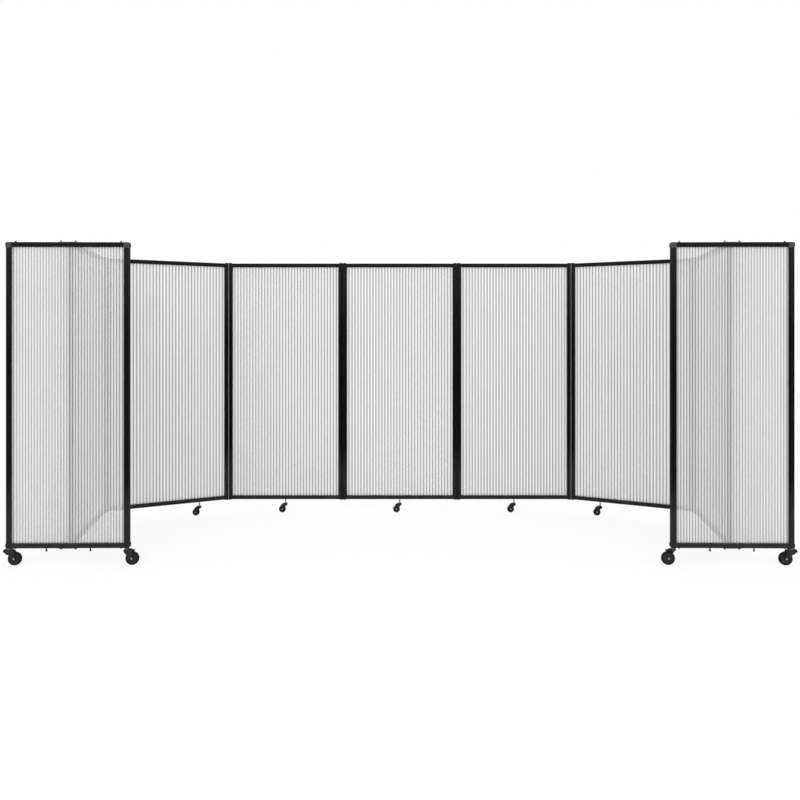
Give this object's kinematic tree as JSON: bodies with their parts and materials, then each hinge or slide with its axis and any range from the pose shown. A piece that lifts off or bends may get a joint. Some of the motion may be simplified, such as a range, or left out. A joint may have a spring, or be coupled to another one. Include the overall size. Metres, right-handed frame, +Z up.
{
  "type": "folding room divider",
  "caption": "Folding room divider of translucent polycarbonate panels in black frames, hinged in a row on casters, with a pivoting frame at each end.",
  "frame": {"origin": "middle of the whole screen's box, on the floor", "axes": "+Z up, +X along the middle panel to the viewer's right, +Y away from the viewer; the screen curves towards -Y"},
  "size_m": [4.4888, 1.2452, 1.829],
  "materials": {
    "frame": "satin black powder coat on extruded aluminium",
    "sheet": "translucent white fluted polycarbonate",
    "hinge": "satin black powder coat on aluminium",
    "corner": "moulded dark grey plastic",
    "fitting": "satin dark grey",
    "fork": "black moulded caster body",
    "tread": "black rubber",
    "pedal": "black moulded plastic"
  },
  "bodies": {
    "panel_1": {"panel_1_stiles": "frame", "panel_1_rails": "frame", "panel_1_sheet": "sheet"},
    "panel_2": {"panel_2_stiles": "frame", "panel_2_rails": "frame", "panel_2_sheet": "sheet"},
    "panel_3": {"panel_3_stiles": "frame", "panel_3_rails": "frame", "panel_3_sheet": "sheet"},
    "panel_4": {"panel_4_stiles": "frame", "panel_4_rails": "frame", "panel_4_sheet": "sheet"},
    "panel_5": {"panel_5_stiles": "frame", "panel_5_rails": "frame", "panel_5_sheet": "sheet"},
    "panel_6": {"panel_6_stiles": "frame", "panel_6_rails": "frame", "panel_6_sheet": "sheet"},
    "panel_7": {"panel_7_stiles": "frame", "panel_7_rails": "frame", "panel_7_sheet": "sheet"},
    "link_12": {"hinge_12_link": "hinge"},
    "link_23": {"hinge_23_link": "hinge"},
    "link_34": {"hinge_34_link": "hinge"},
    "link_45": {"hinge_45_link": "hinge"},
    "link_56": {"hinge_56_link": "hinge"},
    "link_67": {"hinge_67_link": "hinge"},
    "left_end_frame": {"left_end_stiles": "frame", "left_end_rails": "frame", "left_end_corners": "corner", "left_end_sheet": "sheet", "left_end_fittings": "fitting"},
    "right_end_frame": {"right_end_stiles": "frame", "right_end_rails": "frame", "right_end_corners": "corner", "right_end_sheet": "sheet", "right_end_fittings": "fitting"},
    "caster_2_fork": {"caster_2_fork": "fork"},
    "caster_2_wheel": {"caster_2_wheel": "tread"},
    "caster_3_fork": {"caster_3_fork": "fork"},
    "caster_3_wheel": {"caster_3_wheel": "tread"},
    "caster_4_fork": {"caster_4_fork": "fork"},
    "caster_4_wheel": {"caster_4_wheel": "tread"},
    "caster_5_fork": {"caster_5_fork": "fork"},
    "caster_5_wheel": {"caster_5_wheel": "tread"},
    "caster_6_fork": {"caster_6_fork": "fork"},
    "caster_6_wheel": {"caster_6_wheel": "tread"},
    "left_outer_caster_fork": {"left_outer_caster_fork": "fork"},
    "left_outer_caster_wheel": {"left_outer_caster_wheel": "tread"},
    "left_outer_caster_pedal": {"left_outer_caster_pedal": "pedal"},
    "left_inner_caster_fork": {"left_inner_caster_fork": "fork"},
    "left_inner_caster_wheel": {"left_inner_caster_wheel": "tread"},
    "left_inner_caster_pedal": {"left_inner_caster_pedal": "pedal"},
    "right_outer_caster_fork": {"right_outer_caster_fork": "fork"},
    "right_outer_caster_wheel": {"right_outer_caster_wheel": "tread"},
    "right_outer_caster_pedal": {"right_outer_caster_pedal": "pedal"},
    "right_inner_caster_fork": {"right_inner_caster_fork": "fork"},
    "right_inner_caster_wheel": {"right_inner_caster_wheel": "tread"},
    "right_inner_caster_pedal": {"right_inner_caster_pedal": "pedal"}
  },
  "joints": [
    {"name": "hinge_34_pin_4", "type": "hinge", "parent": "panel_4", "child": "link_34", "pos_m": [-0.4046, 0.60923, 1.8255], "axis": [0, 0, 1], "range_deg": [-90, 90]},
    {"name": "hinge_34_pin_3", "type": "hinge", "parent": "link_34", "child": "panel_3", "pos_m": [-0.4336, 0.60923, 1.8255], "axis": [0, 0, -1], "range_deg": [-90, 90]},
    {"name": "hinge_23_pin_3", "type": "hinge", "parent": "panel_3", "child": "link_23", "pos_m": [-1.2428, 0.60923, 1.8255], "axis": [0, 0, 1], "range_deg": [-103, 77]},
    {"name": "hinge_23_pin_2", "type": "hinge", "parent": "link_23", "child": "panel_2", "pos_m": [-1.27106, 0.6027, 1.8255], "axis": [0, 0, 1], "range_deg": [-103, 77]},
    {"name": "hinge_12_pin_2", "type": "hinge", "parent": "panel_2", "child": "link_12", "pos_m": [-1.99836, 0.24797, 1.8255], "axis": [0, 0, -1], "range_deg": [-53.25, 126.75]},
    {"name": "hinge_12_pin_1", "type": "hinge", "parent": "link_12", "child": "panel_1", "pos_m": [-2.01164, 0.22219, 1.8255], "axis": [0, 0, -1], "range_deg": [-53.25, 126.75]},
    {"name": "hinge_45_pin_4", "type": "hinge", "parent": "panel_4", "child": "link_45", "pos_m": [0.4046, 0.60923, 1.8255], "axis": [0, 0, -1], "range_deg": [-90, 90]},
    {"name": "hinge_45_pin_5", "type": "hinge", "parent": "link_45", "child": "panel_5", "pos_m": [0.4336, 0.60923, 1.8255], "axis": [0, 0, 1], "range_deg": [-90, 90]},
    {"name": "hinge_56_pin_5", "type": "hinge", "parent": "panel_5", "child": "link_56", "pos_m": [1.2428, 0.60923, 1.8255], "axis": [0, 0, -1], "range_deg": [-103, 77]},
    {"name": "hinge_56_pin_6", "type": "hinge", "parent": "link_56", "child": "panel_6", "pos_m": [1.27106, 0.6027, 1.8255], "axis": [0, 0, -1], "range_deg": [-103, 77]},
    {"name": "hinge_67_pin_6", "type": "hinge", "parent": "panel_6", "child": "link_67", "pos_m": [1.99836, 0.24797, 1.8255], "axis": [0, 0, 1], "range_deg": [-53.25, 126.75]},
    {"name": "hinge_67_pin_7", "type": "hinge", "parent": "link_67", "child": "panel_7", "pos_m": [2.01164, 0.22219, 1.8255], "axis": [0, 0, 1], "range_deg": [-53.25, 126.75]},
    {"name": "left_end_pivot", "type": "hinge", "parent": "panel_1", "child": "left_end_frame", "pos_m": [-1.87808, -0.57591, 1.826], "axis": [0, 0, 1], "range_deg": [-81.2, 98.8]},
    {"name": "right_end_pivot", "type": "hinge", "parent": "panel_7", "child": "right_end_frame", "pos_m": [1.87808, -0.57591, 1.826], "axis": [0, 0, -1], "range_deg": [-81.2, 98.8]},
    {"name": "caster_2_swivel", "type": "hinge", "parent": "panel_2", "child": "caster_2_fork", "pos_m": [-1.44637, 0.5172, 0.098], "axis": [0, 0, 1], "continuous": true},
    {"name": "caster_2_roll", "type": "hinge", "parent": "caster_2_fork", "child": "caster_2_wheel", "pos_m": [-1.47037, 0.5172, 0.025], "axis": [0, -1, 0], "continuous": true},
    {"name": "caster_3_swivel", "type": "hinge", "parent": "panel_3", "child": "caster_3_fork", "pos_m": [-0.8382, 0.60923, 0.098], "axis": [0, 0, 1], "continuous": true},
    {"name": "caster_3_roll", "type": "hinge", "parent": "caster_3_fork", "child": "caster_3_wheel", "pos_m": [-0.8622, 0.60923, 0.025], "axis": [0, -1, 0], "continuous": true},
    {"name": "caster_4_swivel", "type": "hinge", "parent": "panel_4", "child": "caster_4_fork", "pos_m": [0, 0.60923, 0.098], "axis": [0, 0, 1], "continuous": true},
    {"name": "caster_4_roll", "type": "hinge", "parent": "caster_4_fork", "child": "caster_4_wheel", "pos_m": [-0.024, 0.60923, 0.025], "axis": [0, -1, 0], "continuous": true},
    {"name": "caster_5_swivel", "type": "hinge", "parent": "panel_5", "child": "caster_5_fork", "pos_m": [0.8382, 0.60923, 0.098], "axis": [0, 0, 1], "continuous": true},
    {"name": "caster_5_roll", "type": "hinge", "parent": "caster_5_fork", "child": "caster_5_wheel", "pos_m": [0.8142, 0.60923, 0.025], "axis": [0, -1, 0], "continuous": true},
    {"name": "caster_6_swivel", "type": "hinge", "parent": "panel_6", "child": "caster_6_fork", "pos_m": [1.44637, 0.5172, 0.098], "axis": [0, 0, 1], "continuous": true},
    {"name": "caster_6_roll", "type": "hinge", "parent": "caster_6_fork", "child": "caster_6_wheel", "pos_m": [1.42237, 0.5172, 0.025], "axis": [0, -1, 0], "continuous": true},
    {"name": "left_outer_caster_swivel", "type": "hinge", "parent": "left_end_frame", "child": "left_outer_caster_fork", "pos_m": [-2.20822, -0.60745, 0.098], "axis": [0, 0, 1], "continuous": true},
    {"name": "left_outer_caster_roll", "type": "hinge", "parent": "left_outer_caster_fork", "child": "left_outer_caster_wheel", "pos_m": [-2.17822, -0.60708, 0.038], "axis": [-0.0122, 0.9999, 0], "continuous": true},
    {"name": "left_outer_caster_brake", "type": "hinge", "parent": "left_outer_caster_fork", "child": "left_outer_caster_pedal", "pos_m": [-2.22422, -0.60764, 0.08725], "axis": [0.0122, -0.9999, 0], "range_deg": [0, 12]},
    {"name": "left_inner_caster_swivel", "type": "hinge", "parent": "left_end_frame", "child": "left_inner_caster_fork", "pos_m": [-1.54727, -0.59937, 0.098], "axis": [0, 0, 1], "continuous": true},
    {"name": "left_inner_caster_roll", "type": "hinge", "parent": "left_inner_caster_fork", "child": "left_inner_caster_wheel", "pos_m": [-1.51727, -0.59901, 0.038], "axis": [-0.0122, 0.9999, 0], "continuous": true},
    {"name": "left_inner_caster_brake", "type": "hinge", "parent": "left_inner_caster_fork", "child": "left_inner_caster_pedal", "pos_m": [-1.53127, -0.59918, 0.08725], "axis": [-0.0122, 0.9999, 0], "range_deg": [0, 12]},
    {"name": "right_outer_caster_swivel", "type": "hinge", "parent": "right_end_frame", "child": "right_outer_caster_fork", "pos_m": [2.20822, -0.60745, 0.098], "axis": [0, 0, 1], "continuous": true},
    {"name": "right_outer_caster_roll", "type": "hinge", "parent": "right_outer_caster_fork", "child": "right_outer_caster_wheel", "pos_m": [2.17822, -0.60708, 0.038], "axis": [-0.0122, -0.9999, 0], "continuous": true},
    {"name": "right_outer_caster_brake", "type": "hinge", "parent": "right_outer_caster_fork", "child": "right_outer_caster_pedal", "pos_m": [2.22422, -0.60764, 0.08725], "axis": [0.0122, 0.9999, 0], "range_deg": [0, 12]},
    {"name": "right_inner_caster_swivel", "type": "hinge", "parent": "right_end_frame", "child": "right_inner_caster_fork", "pos_m": [1.54727, -0.59937, 0.098], "axis": [0, 0, 1], "continuous": true},
    {"name": "right_inner_caster_roll", "type": "hinge", "parent": "right_inner_caster_fork", "child": "right_inner_caster_wheel", "pos_m": [1.51727, -0.59901, 0.038], "axis": [-0.0122, -0.9999, 0], "continuous": true},
    {"name": "right_inner_caster_brake", "type": "hinge", "parent": "right_inner_caster_fork", "child": "right_inner_caster_pedal", "pos_m": [1.53127, -0.59918, 0.08725], "axis": [-0.0122, -0.9999, 0], "range_deg": [0, 12]}
  ]
}
